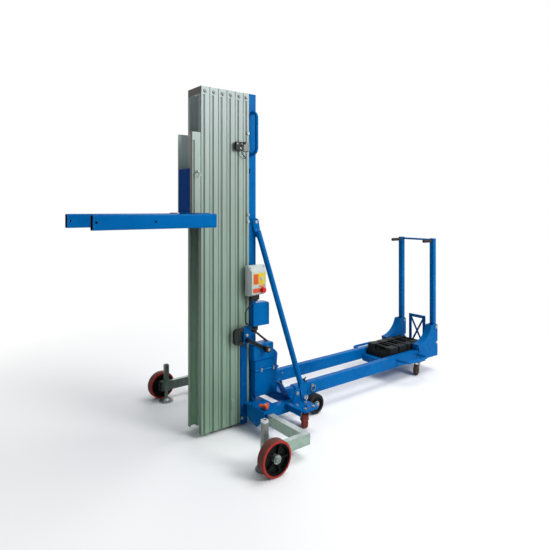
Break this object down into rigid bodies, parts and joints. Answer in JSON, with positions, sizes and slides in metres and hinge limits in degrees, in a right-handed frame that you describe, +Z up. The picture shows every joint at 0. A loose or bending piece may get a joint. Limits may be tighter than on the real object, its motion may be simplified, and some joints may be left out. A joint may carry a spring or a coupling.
{
  "type": "glazing hoist",
  "caption": "Counterbalanced telescopic mast lift with fork carriage, sliding outriggers, ballasted rear chassis and folding push handle.",
  "frame": {"origin": "on the floor, under the middle of the bounding box", "axes": "+X from the forks to the push handle, +Y to the operator's right, +Z up"},
  "size_m": [2.788, 1.338, 2.01],
  "materials": {
    "blue_paint": "gloss powder coat",
    "anodised": "satin anodised extrusion",
    "zinc": "zinc plated",
    "red_tread": "cast polyurethane tread on a black core",
    "grey_rubber": "matt rubber",
    "black_iron": "black painted casting",
    "black_plastic": "moulded",
    "black_rubber": "matt",
    "grey_plastic": "moulded, fine grain",
    "orange_plastic": "moulded",
    "red_plastic": "moulded"
  },
  "bodies": {
    "chassis": {"base_frame": "blue_paint", "column": "blue_paint", "mast_foot_channel": "blue_paint", "column_handles": "blue_paint", "struts": "blue_paint", "chassis_beam_left": "blue_paint", "chassis_beam_right": "blue_paint", "ballast_cradle": "blue_paint", "handle_gussets": "blue_paint", "beam_handles": "blue_paint", "winch_frame": "blue_paint", "motor_cover": "blue_paint", "control_bracket": "blue_paint", "battery_cover": "blue_paint", "battery_tub": "blue_paint", "mast_section_1": "anodised", "fasteners": "zinc", "ballast_weights": "black_iron", "winch_motor": "black_iron", "battery": "black_plastic", "bridge_handle": "black_plastic", "limit_switch": "black_plastic", "control_cable": "black_rubber", "battery_cables": "black_rubber", "control_box": "grey_plastic"},
    "stage_2": {"mast_section_2": "anodised"},
    "stage_3": {"mast_section_3": "anodised"},
    "stage_4": {"mast_section_4": "anodised"},
    "stage_5": {"mast_section_5": "anodised"},
    "stage_6": {"mast_section_6": "anodised"},
    "carriage": {"carriage": "anodised", "fork_frame": "blue_paint", "forks": "blue_paint"},
    "push_handle": {"push_handle": "blue_paint", "handle_grips": "black_rubber"},
    "outrigger_left": {"outrigger_left": "zinc"},
    "outrigger_wheel_left": {"outrigger_wheel_left": "red_tread"},
    "jack_left": {"jack_left": "zinc"},
    "star_knob_left": {"star_knob_left": "orange_plastic"},
    "corner_caster_left": {"corner_caster_left": "zinc"},
    "corner_wheel_left": {"corner_wheel_left": "red_tread"},
    "rear_caster_left": {"rear_caster_left": "zinc"},
    "rear_wheel_left": {"rear_wheel_left": "red_tread"},
    "chassis_wheel_left": {"chassis_wheel_left": "grey_rubber"},
    "ring_pin_left": {"ring_pin_left": "zinc"},
    "outrigger_right": {"outrigger_right": "zinc"},
    "outrigger_wheel_right": {"outrigger_wheel_right": "red_tread"},
    "jack_right": {"jack_right": "zinc"},
    "star_knob_right": {"star_knob_right": "orange_plastic"},
    "corner_caster_right": {"corner_caster_right": "zinc"},
    "corner_wheel_right": {"corner_wheel_right": "red_tread"},
    "rear_caster_right": {"rear_caster_right": "zinc"},
    "rear_wheel_right": {"rear_wheel_right": "red_tread"},
    "chassis_wheel_right": {"chassis_wheel_right": "grey_rubber"},
    "ring_pin_right": {"ring_pin_right": "zinc"},
    "crank_arm": {"crank_arm": "black_iron"},
    "crank_knob": {"crank_knob": "black_plastic"},
    "winch_drum": {"winch_drum": "zinc"},
    "e_stop_button": {"e_stop_button": "red_plastic"},
    "battery_clips": {"battery_clips": "zinc"}
  },
  "joints": [
    {"name": "mast_lift", "type": "slide", "parent": "chassis", "child": "stage_2", "axis": [0, 0, 1], "range_m": [0, 1.3]},
    {"name": "stage_3_lift", "type": "slide", "parent": "stage_2", "child": "stage_3", "axis": [0, 0, 1], "range_m": [0, 1.3]},
    {"name": "stage_4_lift", "type": "slide", "parent": "stage_3", "child": "stage_4", "axis": [0, 0, 1], "range_m": [0, 1.3]},
    {"name": "stage_5_lift", "type": "slide", "parent": "stage_4", "child": "stage_5", "axis": [0, 0, 1], "range_m": [0, 1.3]},
    {"name": "stage_6_lift", "type": "slide", "parent": "stage_5", "child": "stage_6", "axis": [0, 0, 1], "range_m": [0, 1.3]},
    {"name": "carriage_lift", "type": "slide", "parent": "stage_6", "child": "carriage", "axis": [0, 0, 1], "range_m": [-1.14, 0.22]},
    {"name": "winch_drum_turn", "type": "hinge", "parent": "chassis", "child": "winch_drum", "pos_m": [-0.277, 0, 0.66], "axis": [0, 1, 0], "range_deg": [0, 2500]},
    {"name": "handle_fold", "type": "hinge", "parent": "chassis", "child": "push_handle", "pos_m": [1.369, 0, 0.347], "axis": [0, -1, 0], "range_deg": [0, 45]},
    {"name": "crank_turn", "type": "hinge", "parent": "chassis", "child": "crank_arm", "pos_m": [-0.445, -0.13, 0.52], "axis": [0, 1, 0], "continuous": true},
    {"name": "crank_knob_turn", "type": "hinge", "parent": "crank_arm", "child": "crank_knob", "pos_m": [-0.327, -0.15, 0.455], "axis": [0, 1, 0], "continuous": true},
    {"name": "stop_press", "type": "slide", "parent": "chassis", "child": "e_stop_button", "axis": [-0.1736, 0.9848, 0], "range_m": [0, 0.005], "stiffness_N_per_m": 700, "springref_m": -0.002},
    {"name": "clip_swing", "type": "hinge", "parent": "chassis", "child": "battery_clips", "pos_m": [-0.306, -0.1225, 0.317], "axis": [1, 0, 0], "range_deg": [0, 110]},
    {"name": "outrigger_left_slide", "type": "slide", "parent": "chassis", "child": "outrigger_left", "axis": [0, -1, 0], "range_m": [-0.105, 0]},
    {"name": "outrigger_wheel_left_roll", "type": "hinge", "parent": "outrigger_left", "child": "outrigger_wheel_left", "pos_m": [-0.651, -0.639, 0.09], "axis": [0, 1, 0], "continuous": true},
    {"name": "jack_left_slide", "type": "slide", "parent": "outrigger_left", "child": "jack_left", "axis": [0, 0, 1], "range_m": [0, 0.048]},
    {"name": "star_knob_left_turn", "type": "hinge", "parent": "chassis", "child": "star_knob_left", "pos_m": [-0.411, -0.24, 0.15], "axis": [0, 0, 1], "range_deg": [0, 360]},
    {"name": "corner_caster_left_swivel", "type": "hinge", "parent": "chassis", "child": "corner_caster_left", "pos_m": [-0.196, -0.352, 0.1], "axis": [0, 0, 1], "continuous": true},
    {"name": "corner_wheel_left_roll", "type": "hinge", "parent": "corner_caster_left", "child": "corner_wheel_left", "pos_m": [-0.17307, -0.31801, 0.05], "axis": [-0.829, 0.5592, 0], "continuous": true},
    {"name": "rear_caster_left_swivel", "type": "hinge", "parent": "chassis", "child": "rear_caster_left", "pos_m": [1.164, -0.154, 0.1], "axis": [0, 0, 1], "continuous": true},
    {"name": "rear_wheel_left_roll", "type": "hinge", "parent": "rear_caster_left", "child": "rear_wheel_left", "pos_m": [1.13581, -0.16426, 0.04], "axis": [0.342, -0.9397, 0], "continuous": true},
    {"name": "chassis_wheel_left_roll", "type": "hinge", "parent": "chassis", "child": "chassis_wheel_left", "pos_m": [0.009, -0.212, 0.0625], "axis": [0, 1, 0], "continuous": true},
    {"name": "ring_pin_left_pull", "type": "slide", "parent": "chassis", "child": "ring_pin_left", "axis": [0, -1, 0], "range_m": [0, 0.062]},
    {"name": "outrigger_right_slide", "type": "slide", "parent": "chassis", "child": "outrigger_right", "axis": [0, 1, 0], "range_m": [-0.105, 0]},
    {"name": "outrigger_wheel_right_roll", "type": "hinge", "parent": "outrigger_right", "child": "outrigger_wheel_right", "pos_m": [-0.651, 0.639, 0.09], "axis": [0, 1, 0], "continuous": true},
    {"name": "jack_right_slide", "type": "slide", "parent": "outrigger_right", "child": "jack_right", "axis": [0, 0, 1], "range_m": [0, 0.048]},
    {"name": "star_knob_right_turn", "type": "hinge", "parent": "chassis", "child": "star_knob_right", "pos_m": [-0.411, 0.24, 0.15], "axis": [0, 0, 1], "range_deg": [0, 360]},
    {"name": "corner_caster_right_swivel", "type": "hinge", "parent": "chassis", "child": "corner_caster_right", "pos_m": [-0.196, 0.352, 0.1], "axis": [0, 0, 1], "continuous": true},
    {"name": "corner_wheel_right_roll", "type": "hinge", "parent": "corner_caster_right", "child": "corner_wheel_right", "pos_m": [-0.1598, 0.37125, 0.05], "axis": [-0.4695, 0.8829, 0], "continuous": true},
    {"name": "rear_caster_right_swivel", "type": "hinge", "parent": "chassis", "child": "rear_caster_right", "pos_m": [1.164, 0.154, 0.1], "axis": [0, 0, 1], "continuous": true},
    {"name": "rear_wheel_right_roll", "type": "hinge", "parent": "rear_caster_right", "child": "rear_wheel_right", "pos_m": [1.13429, 0.15818, 0.04], "axis": [-0.1392, -0.9903, 0], "continuous": true},
    {"name": "chassis_wheel_right_roll", "type": "hinge", "parent": "chassis", "child": "chassis_wheel_right", "pos_m": [0.009, 0.212, 0.0625], "axis": [0, 1, 0], "continuous": true},
    {"name": "ring_pin_right_pull", "type": "slide", "parent": "chassis", "child": "ring_pin_right", "axis": [0, 1, 0], "range_m": [0, 0.062]}
  ],
  "couplings": [
    {"joint": "stage_3_lift", "follows": "mast_lift", "ratio": 1},
    {"joint": "stage_4_lift", "follows": "mast_lift", "ratio": 1},
    {"joint": "stage_5_lift", "follows": "mast_lift", "ratio": 1},
    {"joint": "stage_6_lift", "follows": "mast_lift", "ratio": 1},
    {"joint": "winch_drum_turn", "follows": "mast_lift", "rad_per_m": 33.333}
  ]
}
